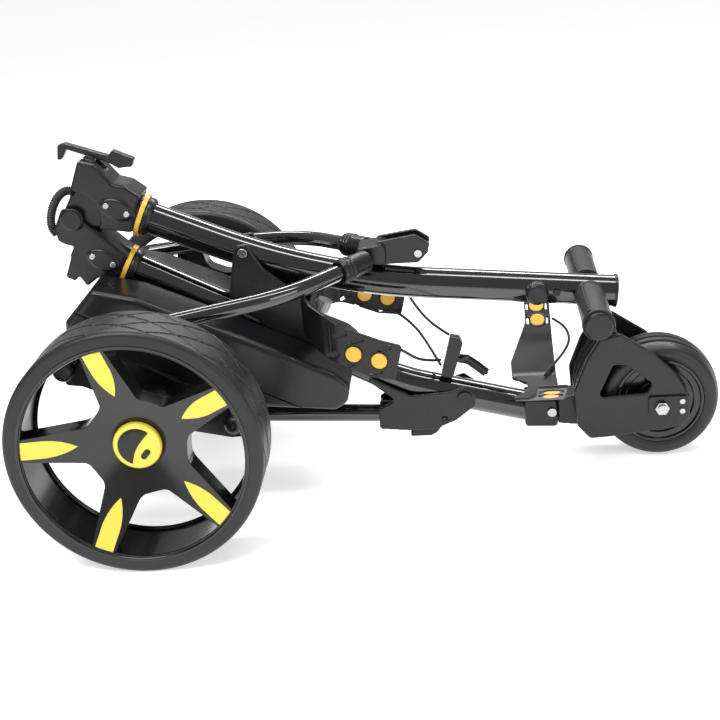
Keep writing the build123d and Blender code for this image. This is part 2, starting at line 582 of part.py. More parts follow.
buckle = slab([(364, 126), (379, 183), (392, 180), (396, 172), (380, 122)], BUCKLE_Y - 8, BUCKLE_Y + 8, 3)
buckle = buckle - rod(xz(MAIN_BEND), xz(MAIN_END), TUBE_R + 0.3)
strap = slab([(389, 150), (402, 152), (429, 128), (426, 124.5), (401, 147), (388.4, 145)],
             BUCKLE_Y - 7, BUCKLE_Y + 7, 0.8)
save("cord_buckle", [buckle, strap])


# ---- handle -----------------------------------------------------------------------------
handle_path = FilletPolyline(xz(HANDLE_TOP), xz(HANDLE_BEND), xz(HANDLE_END), radius=HANDLE_BEND_R)
handle_tube = pipe(handle_path, TUBE_R, TUBE_R - WALL)
UPPER_RING = 41.0
UPPER = [(-78, 364), (-33, 356), (-30, 372), (-16, 404), (-34, 418), (-51, 423), (-64, 440), (-72, 450), (-92, 456),
         (-101, 434), (-113, 404), (-124, 386), (-120, 369), (-108, 364)]
upper_bracket = slab(UPPER, -BRACKET_W, BRACKET_W, 3)
handle_tilt = degrees(atan2(HANDLE_BEND[1] - HANDLE_TOP[1], HANDLE_BEND[0] - HANDLE_TOP[0]))
upper_bracket = upper_bracket + oval_pad((-49, 388.5), handle_tilt)
upper_bracket = upper_bracket - beyond_ring(HANDLE_TOP, HANDLE_BEND, UPPER_RING)
upper_bracket = upper_bracket + bracket_sleeve(HANDLE_TOP, HANDLE_BEND, -2, UPPER_RING)
for y in (-45, LUG_W):
    upper_bracket = upper_bracket - round_bar(HINGE[0], HINGE[1], KNUCKLE_R, y, y + 27.5)
upper_bracket = upper_bracket - rod(xz(HANDLE_TOP), xz(on_line(HANDLE_TOP, HANDLE_BEND, 90)), TUBE_R + 0.02)
upper_bracket = upper_bracket - round_bar(HINGE[0], HINGE[1], 6 + FIT, -40, 40)
LATCH = (-80.0, 452.0)
save("upper_gold_ring", gold_ring(HANDLE_TOP, HANDLE_BEND, UPPER_RING))
save("handle_screws", pan_screws(((-62, 395), (-36, 382)), BRACKET_W + 1.6))

# latch lever: hook, bar and thumb pad, pivoted on the bracket's nose
LATCH_W = 6.5
latch = slab([(-124, 455), (-121, 474), (-112, 476), (-56, 456), (-50, 463), (-22, 450), (-26, 440), (-44, 439),
              (-58, 448), (-110, 468), (-118, 455)], -LATCH_W, LATCH_W, 1.2)
lever_eye = round_bar(LATCH[0], LATCH[1], 6, -LATCH_W, LATCH_W)
latch = latch + lever_eye - round_bar(LATCH[0], LATCH[1], 2.5 + FIT, -20, 20)
save("latch_lever", latch)
nose_slot = slab([(-120, 438), (-120, 480), (-10, 480), (-10, 424), (-46, 427), (-62, 436), (-78, 441)],
                 -LATCH_W - 0.8, LATCH_W + 0.8, 1)
upper_bracket = upper_bracket - nose_slot
for y in (-12.0, LATCH_W + 0.8):
    upper_bracket = upper_bracket + round_bar(LATCH[0], LATCH[1], 7, y, y + 4.7)
upper_bracket = upper_bracket + round_bar(LATCH[0], LATCH[1], 2.5, -12, 12)
save("upper_hinge_bracket", upper_bracket)

grip_gap = 24.0
tbar = rod(xz(TBAR, -TBAR_HALF + 6.5), xz(TBAR, TBAR_HALF - 6.5), 14.5, bore=12.5)
bore_start, bore_end = on_line(HANDLE_END, HANDLE_BEND, -5), on_line(HANDLE_END, HANDLE_BEND, 120)
tbar = tbar - rod(xz(bore_start), xz(bore_end), TUBE_R - 2.0)
handle_tube = handle_tube - rod(xz(TBAR, -40), xz(TBAR, 40), 14.52)
DIAL = (497.0, 243.0)
BUTTON = (523.0, 240.5)
handle_tube = handle_tube - round_bar(DIAL[0], DIAL[1], 4, -30, -10)
handle_tube = handle_tube - round_bar(BUTTON[0], BUTTON[1], 5.2, -30, -10)
save("handle_tube", handle_tube)
tbar_pieces = tbar.solids().sort_by(SortBy.VOLUME)
save("t_bar", tbar_pieces[-2:] if len(tbar_pieces) > 1 else tbar)
grip = rod(xz(TBAR, -TBAR_HALF + 6.5), xz(TBAR, -grip_gap), 19.5, bore=14.52)
grip = fillet(grip.edges().filter_by(GeomType.CIRCLE).sort_by(SortBy.RADIUS)[-2:], 2.5)
save("grips", both(grip))
grip_cap = rod(xz(TBAR, -TBAR_HALF), xz(TBAR, -TBAR_HALF + 6.4), 17.5)
grip_cap = fillet(grip_cap.edges().filter_by(GeomType.CIRCLE).sort_by(Axis.Y)[0], 3)
grip_cap = grip_cap + rod(xz(TBAR, -TBAR_HALF + 6.4), xz(TBAR, -TBAR_HALF + 20), 12.48)
end_a = on_line(HANDLE_END, HANDLE_BEND, 14)
end_b = on_line(HANDLE_END, HANDLE_BEND, -4)
end_cap = rod(xz(end_a), xz(HANDLE_END), TUBE_R - WALL - 0.02) + rod(xz(HANDLE_END), xz(end_b), TUBE_R + 1.2)
save("end_caps", both(grip_cap) + [end_cap])

dial = round_bar(DIAL[0], DIAL[1], 15, -36, -TUBE_R - 0.6)
dial = fillet(dial.edges().filter_by(GeomType.CIRCLE).sort_by(Axis.Y)[0], 5)
dial = dial + round_bar(DIAL[0], DIAL[1], 3.9, -TUBE_R - 1, -14)
save("speed_dial", dial)
button_face = SlotOverall(13, 8.0)
power_button = extrude(side(-19) * Pos(*BUTTON) * button_face, amount=4.5)
power_button = power_button & round_bar(BUTTON[0], BUTTON[1], 5, -30, -10)
save("power_button", power_button)

# ---- anti-tip frame ---------------------------------------------------------------------
LEG_R = 10.5
LEG_Y = 180.0
leg_path = FilletPolyline(xz(SWING, -LEG_Y), (-76, -LEG_Y, 268), (20, -178, 277.5), (177, -134, 292),
                          (256, -49, 299.2), radius=[30, 250, 170])
leg = pipe(leg_path, LEG_R)
leg_eye = round_bar(SWING[0], SWING[1], 13, -LEG_Y - 10.5, -LEG_Y + 10.5)
leg = leg + leg_eye - round_bar(SWING[0], SWING[1], 6 + FIT, -LEG_Y - 12, -LEG_Y + 12)
save("wishbone_legs", both(leg))

socket_dir = Vector(256 - 177, 85, 7.2).normalized()
socket_start = Vector(256, -49, 299.2) - socket_dir * 22
socket_end = Vector(256, -49, 299.2) + socket_dir * 26
socket = rod(tuple(socket_start), tuple(socket_end), 15) - rod(tuple(socket_start), (256, -49, 299.2), LEG_R + 0.02)
for i in range(3):
    ring_at = socket_start + socket_dir * (3 + 6 * i)
    socket = socket + rod(tuple(ring_at), tuple(ring_at + socket_dir * 3), 16.5, bore=LEG_R + 0.5)
body = slab([(262, 295.5), (262, 315), (300, 320), (300, 290)], -22, 22, 6)
body = fillet(body.edges().filter_by(Axis.Y, reverse=True).filter_by(GeomType.LINE), 2)
ear = slab([(288, 291), (288, 322), (340, 329), (359, 316), (356, 304), (343, 291)], -17, -11, 3)
BOLT_HEAD_R = 5.0
connector = body + socket + mirror(socket, about=Plane.XZ) + ear + mirror(ear, about=Plane.XZ)
for y in (-20, 10):
    connector = connector - round_bar(343, 304, 4, y, y + 10)
save("wishbone_connector", connector)
bolt = round_bar(343, 304, 4, -20, 20)
bolt = bolt + round_bar(343, 304, BOLT_HEAD_R, -20, -17.02) + round_bar(343, 304, BOLT_HEAD_R, 17.02, 20)
save("wishbone_bolt", bolt)

# ---- cable conduit over the main hinge --------------------------------------------------
CONDUIT_Y = -22.5
CONDUIT = [(-107.6, 419), (-120, 422), (-135, 408), (-143, 387), (-145, 367), (-136, 358.5)]
conduit_path = FilletPolyline(*[xz(point, CONDUIT_Y) for point in CONDUIT], radius=[8, 24, 30, 7])
save("cable_conduit", pipe(conduit_path, 4.5))
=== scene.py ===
import json
import math

import bpy
import numpy
from mathutils import Matrix, Vector
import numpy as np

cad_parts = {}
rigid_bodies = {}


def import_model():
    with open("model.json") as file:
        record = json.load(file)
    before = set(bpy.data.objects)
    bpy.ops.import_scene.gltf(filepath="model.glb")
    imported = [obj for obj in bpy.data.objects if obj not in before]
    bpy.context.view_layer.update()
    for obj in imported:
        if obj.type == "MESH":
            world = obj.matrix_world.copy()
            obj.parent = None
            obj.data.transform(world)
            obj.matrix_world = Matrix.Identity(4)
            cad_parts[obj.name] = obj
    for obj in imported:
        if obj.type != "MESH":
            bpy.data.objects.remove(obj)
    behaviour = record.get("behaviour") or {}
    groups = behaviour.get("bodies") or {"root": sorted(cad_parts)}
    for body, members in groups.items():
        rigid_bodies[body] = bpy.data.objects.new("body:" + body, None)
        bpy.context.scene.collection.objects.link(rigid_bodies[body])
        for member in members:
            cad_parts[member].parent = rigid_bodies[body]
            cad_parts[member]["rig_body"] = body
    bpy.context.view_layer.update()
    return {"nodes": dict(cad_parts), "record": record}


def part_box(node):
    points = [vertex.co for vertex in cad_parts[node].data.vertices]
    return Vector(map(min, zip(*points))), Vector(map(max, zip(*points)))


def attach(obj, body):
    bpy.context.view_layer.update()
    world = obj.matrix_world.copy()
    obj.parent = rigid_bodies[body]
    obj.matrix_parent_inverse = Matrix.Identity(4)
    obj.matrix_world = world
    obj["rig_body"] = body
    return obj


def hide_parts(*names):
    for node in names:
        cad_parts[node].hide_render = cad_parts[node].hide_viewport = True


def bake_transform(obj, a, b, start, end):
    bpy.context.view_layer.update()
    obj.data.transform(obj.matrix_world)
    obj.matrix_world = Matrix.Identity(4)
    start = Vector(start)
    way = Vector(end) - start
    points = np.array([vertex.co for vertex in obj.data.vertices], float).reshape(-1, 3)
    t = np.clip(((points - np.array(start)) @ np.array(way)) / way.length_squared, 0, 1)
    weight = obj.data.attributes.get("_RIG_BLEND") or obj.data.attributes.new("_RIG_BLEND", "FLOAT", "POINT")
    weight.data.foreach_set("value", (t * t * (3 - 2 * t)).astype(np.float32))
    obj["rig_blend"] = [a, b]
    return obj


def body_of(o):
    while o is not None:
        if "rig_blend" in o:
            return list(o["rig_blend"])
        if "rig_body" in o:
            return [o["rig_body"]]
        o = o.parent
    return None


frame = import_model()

nodes = frame["nodes"]
scene = bpy.context.scene


def middle(node):
    """The middle of a CAD node's box."""
    low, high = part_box(node)
    return (low + high) / 2


AXLE = middle("rear_rim_right")          # places along the trolley are given from the rear axle


def at(x, y, z):
    """A point given from the floor under the middle of the rear axle, in metres."""
    return Vector((AXLE.x + x, y, z))


# ---- camera ---------------------------------------------------------------------------
CAMERA_FROM_AXLE = (0.407, -1.721, 0.820)
CAMERA_YAW, CAMERA_PITCH, CAMERA_ROLL = 0.089, 0.370, -0.080
CAMERA_LENS = 67.15


def make_camera():
    """A camera a little above the right-hand side, looking down and across."""
    forward = Vector((-math.sin(CAMERA_YAW) * math.cos(CAMERA_PITCH),
                      math.cos(CAMERA_YAW) * math.cos(CAMERA_PITCH), -math.sin(CAMERA_PITCH)))
    level = Vector((math.cos(CAMERA_YAW), math.sin(CAMERA_YAW), 0))
    over = level.cross(forward)
    right = level * math.cos(CAMERA_ROLL) + over * math.sin(CAMERA_ROLL)
    up = over * math.cos(CAMERA_ROLL) - level * math.sin(CAMERA_ROLL)
    turn = Matrix((right, up, -forward)).transposed()
    data = bpy.data.cameras.new("camera")
    data.lens = CAMERA_LENS
    data.clip_end = 50
    camera = bpy.data.objects.new("camera", data)
    camera.matrix_world = Matrix.Translation(at(*CAMERA_FROM_AXLE)) @ turn.to_4x4()
    scene.collection.objects.link(camera)
    scene.camera = camera


make_camera()


# ---- materials ------------------------------------------------------------------------
def add(tree, kind, **values):
    """A node with its inputs and settings set by name."""
    node = tree.nodes.new(kind)
    for key, value in values.items():
        if key in node.inputs:
            node.inputs[key].default_value = value
        else:
            setattr(node, key, value)
    return node


def finish_of(name, colour, rough, metallic=0.0, coat=0.0, coat_rough=0.03, tint=0.25, tint_scale=30.0,
              rough_spread=0.06, grain=800.0, bump=0.05, depth=0.0002, stretch=(1, 1, 1), specular=0.5):
    """A material whose colour, roughness and height all vary: mottled tint, uneven gloss and fine grain."""
    material = bpy.data.materials.new(name)
    material.use_nodes = True
    tree = material.node_tree
    tree.nodes.clear()
    out = add(tree, "ShaderNodeOutputMaterial")
    shader = add(tree, "ShaderNodeBsdfPrincipled", Metallic=metallic)
    shader.inputs["Coat Weight"].default_value = coat
    shader.inputs["Coat Roughness"].default_value = coat_rough
    shader.inputs["Specular IOR Level"].default_value = specular
    place = add(tree, "ShaderNodeTexCoord")
    scale = add(tree, "ShaderNodeMapping")
    scale.inputs["Scale"].default_value = stretch
    mottle = add(tree, "ShaderNodeTexNoise", Scale=tint_scale, Detail=6.0, Roughness=0.6)
    shade = add(tree, "ShaderNodeMix", data_type="RGBA")
    low = [c * (1 - tint) for c in colour] + [1]
    high = [min(1.0, c * (1 + tint)) for c in colour] + [1]
    shade.inputs[6].default_value = low
    shade.inputs[7].default_value = high
    gloss = add(tree, "ShaderNodeMapRange")
    gloss.inputs["From Min"].default_value = 0.3
    gloss.inputs["From Max"].default_value = 0.7
    gloss.inputs["To Min"].default_value = max(0.02, rough - rough_spread)
    gloss.inputs["To Max"].default_value = rough + rough_spread
    fine = add(tree, "ShaderNodeTexNoise", Scale=grain, Detail=4.0)
    height = add(tree, "ShaderNodeBump", Strength=bump, Distance=depth)
    link = tree.links.new
    link(place.outputs["Object"], scale.inputs["Vector"])
    link(scale.outputs["Vector"], mottle.inputs["Vector"])
    link(scale.outputs["Vector"], fine.inputs["Vector"])
    link(mottle.outputs["Fac"], shade.inputs[0])
    link(shade.outputs[2], shader.inputs["Base Color"])
    link(mottle.outputs["Fac"], gloss.inputs["Value"])
    link(gloss.outputs["Result"], shader.inputs["Roughness"])
    link(fine.outputs["Fac"], height.inputs["Height"])
    link(height.outputs["Normal"], shader.inputs["Normal"])
    link(shader.outputs["BSDF"], out.inputs["Surface"])
    return material


FINISHES = {
    "gloss_black_tube": finish_of("gloss_black_tube", (0.003, 0.003, 0.0035), 0.14, coat=1.0, coat_rough=0.02,
                                  grain=350, bump=0.02, rough_spread=0.03),
    "housing_plastic": finish_of("housing_plastic", (0.006, 0.006, 0.007), 0.30, grain=900, bump=0.05,
                                 rough_spread=0.04, specular=0.42),
    "black_casting": finish_of("black_casting", (0.006, 0.006, 0.0065), 0.30, grain=1500, bump=0.10,
                               specular=0.42),
    "black_plastic": finish_of("black_plastic", (0.007, 0.007, 0.0075), 0.34, grain=1800, bump=0.10,
                               specular=0.40),
    "rim_plastic": finish_of("rim_plastic", (0.004, 0.004, 0.0045), 0.24, coat=0.35, coat_rough=0.08,
                             grain=600, bump=0.03, rough_spread=0.04, specular=0.4),
    "tyre_rubber": finish_of("tyre_rubber", (0.010, 0.010, 0.010), 0.42, grain=1600, bump=0.2, depth=0.0003,
                             specular=0.42),
    "yellow_plastic": finish_of("yellow_plastic", (0.76, 0.62, 0.08), 0.35, tint=0.06, grain=1500, bump=0.05,
                                specular=0.35),
    "gold_trim": finish_of("gold_trim", (0.76, 0.42, 0.05), 0.33, metallic=0.15, tint=0.08, grain=1500,
                           bump=0.05),
    "grip_leather": finish_of("grip_leather", (0.008, 0.008, 0.008), 0.42, grain=700, bump=0.5, depth=0.0004),
    "steel": finish_of("steel", (0.42, 0.42, 0.43), 0.22, metallic=1.0, tint=0.08, grain=900, bump=0.04),
    "knurled_grey": finish_of("knurled_grey", (0.36, 0.36, 0.37), 0.33, metallic=0.8, tint=0.10, grain=900,
                              bump=0.06),
    "elastic_cord": finish_of("elastic_cord", (0.010, 0.010, 0.010), 0.65, grain=1600, bump=0.8,
                                depth=0.0004),
    "conduit": finish_of("conduit", (0.008, 0.008, 0.009), 0.40, grain=1500, bump=0.08),
}


def dress_cad():
    """Gives every CAD node its slot's finish."""
    slot_of = {s["node"]: s["material_slot"] for s in frame["record"]["subparts"]}
    for name, node in nodes.items():
        node.data.materials.clear()
        node.data.materials.append(FINISHES[slot_of[name]])


dress_cad()


ADJUSTER_NUT_R = 0.0100          # the nut lies inside this radius and its plate outside


def darken_adjusters():
    """The plates of the front axle's node are dark plastic; only its rod and nuts stay steel."""
    data = nodes["front_axle"].data
    data.materials.append(FINISHES["black_plastic"])
    centre = middle("front_rim")
    place = nodes["front_axle"].matrix_world
    for face in data.polygons:
        corners = [place @ data.vertices[i].co for i in face.vertices]
        reach = max(math.hypot(p.x - centre.x, p.z - centre.z) for p in corners)
        if 0.0485 < abs(corners[0].y) < 0.0532 and reach > ADJUSTER_NUT_R:
            face.material_index = 1


darken_adjusters()


# ---- mesh helpers -----------------------------------------------------------------------
SHARP = math.radians(38)


def piece_of(name, points, faces, body, slot, stands_for=(), sharp=SHARP):
    """A mesh piece with smooth faces and sharp edges, riding on a body."""
    data = bpy.data.meshes.new(name)
    data.from_pydata([tuple(p) for p in points], [], faces)
    data.validate()
    data.materials.append(FINISHES[slot])
    data.shade_smooth()
    data.set_sharp_from_angle(angle=sharp)
    piece = bpy.data.objects.new(name, data)
    scene.collection.objects.link(piece)
    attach(piece, body)
    if stands_for:
        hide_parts(*stands_for)
    return piece


def skin(rows, loop_rows=False, loop_columns=False):
    """Points and faces of a surface given as rows of points."""
    count = len(rows)
    width = len(rows[0])
    points = [p for row in rows for p in row]
    faces = []
    for i in range(count if loop_rows else count - 1):
        here = i * width
        there = ((i + 1) % count) * width
        for j in range(width if loop_columns else width - 1):
            k = (j + 1) % width
            faces.append((here + j, here + k, there + k, there + j))
    return points, faces


def softened(corners, radius, steps=4, closed=True):
    """A flat outline with each corner cut by a short curve. A corner may give its own radius."""
    made = []
    count = len(corners)
    for i, corner in enumerate(corners):
        here = Vector(corner[:2])
        reach = corner[2] if len(corner) > 2 else radius
        if not closed and i in (0, count - 1):
            made.append(here)
            continue
        before = Vector(corners[i - 1][:2]) - here
        after = Vector(corners[(i + 1) % count][:2]) - here
        cut = min(reach, before.length / 2, after.length / 2)
        first = here + before.normalized() * cut
        last = here + after.normalized() * cut
        for step in range(steps + 1):
            t = step / steps
            made.append(first * (1 - t) ** 2 + here * 2 * t * (1 - t) + last * t ** 2)
    return made


def across(direction):
    """Two unit vectors square to a direction and to each other."""
    helper = Vector((0, 0, 1)) if abs(direction.z) < 0.9 else Vector((1, 0, 0))
    first = direction.cross(helper).normalized()
    return first, direction.cross(first).normalized()


def turned(profile, start, direction, steps=64, closed=False):
    """A surface of revolution: profile gives (distance along the axis, radius)."""
    direction = direction.normalized()
    first, second = across(direction)
    rows = []
    for i in range(steps):
        angle = 2 * math.pi * i / steps
        out = first * math.cos(angle) + second * math.sin(angle)
        rows.append([start + direction * p[0] + out * p[1] for p in profile])
    return skin(rows, loop_rows=True, loop_columns=closed)


def joined(*parts):
    """Several (points, faces) pairs as one."""
    points, faces = [], []
    for some_points, some_faces in parts:
        base = len(points)
        points += list(some_points)
        faces += [tuple(base + i for i in face) for face in some_faces]
    return points, faces


def tube_along(path, radius, sides=10, closed=False, radii=None):
    """A round tube along a line of points, with capped ends."""
    count = len(path)
    rows = []
    normal = None
    for i, here in enumerate(path):
        before = path[i - 1] if i or closed else here
        after = path[(i + 1) % count] if i < count - 1 or closed else here
        along = (after - before).normalized()
        if normal is None:
            normal = across(along)[0]
        normal = (normal - along * normal.dot(along)).normalized()
        other = along.cross(normal)
        size = radii[i] if radii else radius
        rows.append([here + (normal * math.cos(2 * math.pi * k / sides)
                             + other * math.sin(2 * math.pi * k / sides)) * size for k in range(sides)])
    points, faces = skin(rows, loop_rows=closed, loop_columns=True)
    if not closed:
        faces.append(tuple(range(sides)))
        faces.append(tuple(len(points) - 1 - k for k in range(sides)))
    return points, faces


def smooth_line(points, count, closed=False):
    """Evenly numbered points on a Catmull-Rom curve through the given ones."""
    made = []
    last = len(points)
    spans = last if closed else last - 1
    for i in range(count):
        t = i * spans / (count if closed else count - 1)
        k = min(int(t), spans - 1)
        t -= k
        if closed:
            p0, p1, p2, p3 = (points[(k + d) % last] for d in (-1, 0, 1, 2))
        else:
            p0, p1, p2, p3 = (points[min(max(k + d, 0), last - 1)] for d in (-1, 0, 1, 2))
        made.append(0.5 * (2 * p1 + (p2 - p0) * t + (2 * p0 - 5 * p1 + 4 * p2 - p3) * t ** 2
                           + (3 * p1 - p0 - 3 * p2 + p3) * t ** 3))
    return made


def crowd(low, high, count):
    """Evenly spaced numbers from low to high."""
    return [low + (high - low) * i / (count - 1) for i in range(count)]


# ---- softened castings and mouldings ----------------------------------------------------
def soften(node, voxel, rounds, slot):
    """The same shape with its edges rounded: rebuilt as even small cells, then relaxed."""
    source = nodes[node]
    data = source.data.copy()
    work = bpy.data.objects.new(node + "_work", data)
    work.matrix_world = source.matrix_world
    scene.collection.objects.link(work)
    weld = work.modifiers.new("weld", "WELD")
    weld.merge_threshold = 0.00002
    cells = work.modifiers.new("cells", "REMESH")
    cells.mode = "VOXEL"
    cells.voxel_size = voxel
    relax = work.modifiers.new("relax", "SMOOTH")
    relax.factor = 0.5
    relax.iterations = rounds
    bpy.context.view_layer.update()
    graph = bpy.context.evaluated_depsgraph_get()
    made = bpy.data.meshes.new_from_object(work.evaluated_get(graph))
    made.transform(work.matrix_world)
    bpy.data.objects.remove(work)
    made.materials.clear()
    made.materials.append(FINISHES[slot])
    made.shade_smooth()
    piece = bpy.data.objects.new(node + "_soft", made)
    scene.collection.objects.link(piece)
    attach(piece, body_of(source)[0])
    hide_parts(node)
    return piece


# node, cell size, rounds of relaxing, material slot
SOFT = [("lower_hinge_bracket", 0.0013, 5, "black_casting"),
        ("upper_hinge_bracket", 0.0013, 5, "black_casting"),
        ("cradle_saddle", 0.0013, 6, "black_casting"), ("fold_bracket", 0.0013, 5, "black_casting"),
        ("front_fork", 0.0012, 4, "black_casting"), ("front_collar", 0.0012, 5, "black_casting"),
        ("wishbone_connector", 0.0010, 3, "black_casting"), ("latch_lever", 0.0008, 4, "black_plastic"),
        ("lower_cradle", 0.0010, 3, "black_plastic"), ("upper_cradle_arms", 0.0009, 3, "black_plastic"),
        ("housing_cover", 0.0016, 14, "housing_plastic"), ("cord_buckle", 0.0008, 3, "black_plastic"),
        ("lock_lever", 0.0009, 4, "black_plastic"), ("frame_knobs", 0.0009, 4, "black_plastic")]
for soft_node, soft_voxel, soft_rounds, soft_slot in SOFT:
    soften(soft_node, soft_voxel, soft_rounds, soft_slot)


# ---- rear tyres: diamond blocks between crossing grooves ---------------------------------
TREAD_PERIOD = 0.0707           # length of one diamond round the tyre
TREAD_GROOVE = 0.0026           # width of a groove's floor
TREAD_DEPTH = 0.0026
TREAD_CORNER = 0.0062
TREAD_STATIONS = 75             # rows of points across the tread
TREAD_STEPS = 30                # steps round the tyre for each diamond
CORNER_STEPS = 6
GROOVE_SLANT = 0.72             # a groove's true width for its width measured round the tyre
GROOVE_WALL = 0.0009            # width of a groove's sloping side
WALL_FOOT = 0.001
# the rim's lip, given past the tyre's side and out from the tyre wall's foot
LIP = [(-0.0012, 0.0012), (0.0010, 0.0006), (0.0014, -0.0012), (0.0006, -0.0028), (-0.0014, -0.0032),
       (-0.0014, -0.0046), (-0.0030, -0.0052), (-0.0060, -0.0020)]
TYRE_WALL = 0.0115              # flat ring between the tread's corner and the rim


def rear_tyre(side):
    """The tread, its rounded corners and flat walls, and a bead on each lip of the rim."""
    low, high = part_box(f"rear_tyre_{side}")
    centre = (low + high) / 2
    radius = (high.z - low.z) / 2
    half = (high.y - low.y) / 2
    flat = half - TREAD_CORNER
    inner = radius - TREAD_CORNER - TYRE_WALL
    repeats = round(2 * math.pi * radius / TREAD_PERIOD)
    around = repeats * TREAD_STEPS
    stations = crowd(-flat, flat, TREAD_STATIONS)
    rows = []
    for i in range(around):
        turn = 2 * math.pi * i / around
        out = Vector((math.cos(turn), 0, math.sin(turn)))
        phase = i * repeats / around
        row = [centre + out * inner + Vector((0, -half, 0)),
               centre + out * (inner + WALL_FOOT) - Vector((0, half, 0))]
        for step in range(CORNER_STEPS):
            bend = math.pi / 2 * step / CORNER_STEPS
            row.append(centre + out * (radius - TREAD_CORNER * (1 - math.sin(bend)))
                       - Vector((0, flat + TREAD_CORNER * math.cos(bend), 0)))
        for y in stations:
            nearest = 1.0
            for slope in (1, -1):
                line = phase + slope * y / flat
                nearest = min(nearest, abs(line - round(line)))
            gap = nearest * TREAD_PERIOD * GROOVE_SLANT
            wall = min(1.0, max(0.0, (gap - TREAD_GROOVE / 2) / GROOVE_WALL))
            row.append(centre + out * (radius - TREAD_DEPTH * (1 - wall)) + Vector((0, y, 0)))
        for step in range(CORNER_STEPS):
            bend = math.pi / 2 * (step + 1) / CORNER_STEPS
            row.append(centre + out * (radius - TREAD_CORNER * (1 - math.cos(bend)))
                       + Vector((0, flat + TREAD_CORNER * math.sin(bend), 0)))
        row += [centre + out * inner + Vector((0, half, 0))]
        rows.append(row)
    points, faces = skin(rows, loop_rows=True, loop_columns=True)
    piece_of(f"rear_tyre_{side}_tread", points, faces, f"wheel_{side}", "tyre_rubber", [f"rear_tyre_{side}"],
             sharp=math.radians(50))
    # a raised bead on the rim's lip, just inside the tyre's wall
    for sign in (-1, 1):
        profile = [(sign * (half + along), inner + out) for along, out in LIP]
        lip = turned(profile, centre, Vector((0, 1, 0)), steps=160, closed=True)
        piece_of(f"rear_lip_{side}_{sign}", *lip, f"wheel_{side}", "rim_plastic", sharp=math.radians(60))


for wheel_side in ("right", "left"):
    rear_tyre(wheel_side)


# ---- front tyre: crowned, with three grooves ----------------------------------------------
FRONT_DISC = [(0.0312, 0.0600), (0.0322, 0.0590), (0.0322, 0.0560), (0.0298, 0.0540), (0.0290, 0.0470),
              (0.0270, 0.0450), (0.0268, 0.0300), (0.0290, 0.0280), (0.0290, 0.0160), (0.0270, 0.0145),
              (0.0250, 0.0200), (0.0250, 0.0560), (0.0280, 0.0598)]
FRONT_GROOVES = (-0.014, 0, 0.014)
FRONT_GROOVE_HALF = 0.0028
FRONT_GROOVE_DEPTH = 0.0040
FRONT_CROWN = 0.0072            # drop from the middle of the tread to its edge


def front_tyre():
    """The grooved tread on its crown, and a stepped disc on each side of the rim."""
    low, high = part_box("front_tyre")
    centre = (low + high) / 2
    radius = (high.z - low.z) / 2
    half = (high.y - low.y) / 2
    profile = [(-half + 0.0025, 0.0600), (-half + 0.0004, 0.0640), (-half, 0.0690), (-half + 0.0008, 0.0722)]
    for step in range(81):
        y = (half - 0.0030) * (step / 40 - 1)
        r = radius - FRONT_CROWN * abs(y / half) ** 2.6
        for groove in FRONT_GROOVES:
            gap = abs(y - groove)
            if gap < FRONT_GROOVE_HALF:
                r -= FRONT_GROOVE_DEPTH * min(1.0, (FRONT_GROOVE_HALF - gap) / GROOVE_WALL)
        profile.append((y, r))
    profile += [(half - 0.0008, 0.0722), (half, 0.0690), (half - 0.0004, 0.0640), (half - 0.0025, 0.0600)]
    points, faces = turned(profile, centre, Vector((0, 1, 0)), steps=180, closed=True)
    piece_of("front_tyre_ribbed", points, faces, "front_wheel", "tyre_rubber", ["front_tyre"],
             sharp=math.radians(40))
    for sign in (-1, 1):
        profile = [(sign * along, out) for along, out in FRONT_DISC]
        disc = turned(profile, centre, Vector((0, 1, 0)), steps=96, closed=True)
        piece_of(f"front_disc_{sign}", *disc, "front_wheel", "rim_plastic")


front_tyre()


# ---- corrugated conduit over the main hinge -------------------------------------------------
CONDUIT_Y = -0.0225
CONDUIT_R = 0.0062
CONDUIT_RIB_DEPTH = 0.0012
CONDUIT_RIB_STEPS = 8           # points along the line for each rib
CONDUIT_ROUTE = [(-0.1040, 0.4150), (-0.1140, 0.4170), (-0.1250, 0.4100), (-0.1340, 0.3970),
                 (-0.1395, 0.3820), (-0.1400, 0.3680), (-0.1350, 0.3585)]


def conduit():
    """A ribbed tube that bends between the frame's bracket and the handle's."""
    line = smooth_line([at(x, CONDUIT_Y, z) for x, z in CONDUIT_ROUTE], 240)
    radii = []
    for i in range(len(line)):
        dip = 0.5 - 0.5 * math.cos(2 * math.pi * i / CONDUIT_RIB_STEPS)
        radii.append(CONDUIT_R - CONDUIT_RIB_DEPTH * dip)
    points, faces = tube_along(line, CONDUIT_R, sides=16, radii=radii)
    data = bpy.data.meshes.new("conduit_ribs")
    data.from_pydata([tuple(p) for p in points], [], faces)
    data.materials.append(FINISHES["conduit"])
    data.shade_smooth()
    piece = bpy.data.objects.new("conduit_ribs", data)
    scene.collection.objects.link(piece)
    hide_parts("cable_conduit")
    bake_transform(piece, "main_frame", "handle", at(CONDUIT_ROUTE[-1][0], CONDUIT_Y, CONDUIT_ROUTE[-1][1]),
             at(CONDUIT_ROUTE[0][0], CONDUIT_Y, CONDUIT_ROUTE[0][1]))


conduit()


# ---- hub caps: dark inlay on the yellow disc -------------------------------------------------
INLAY_R = 0.0235
INLAY_FROM, INLAY_TO = math.radians(47), math.radians(251)


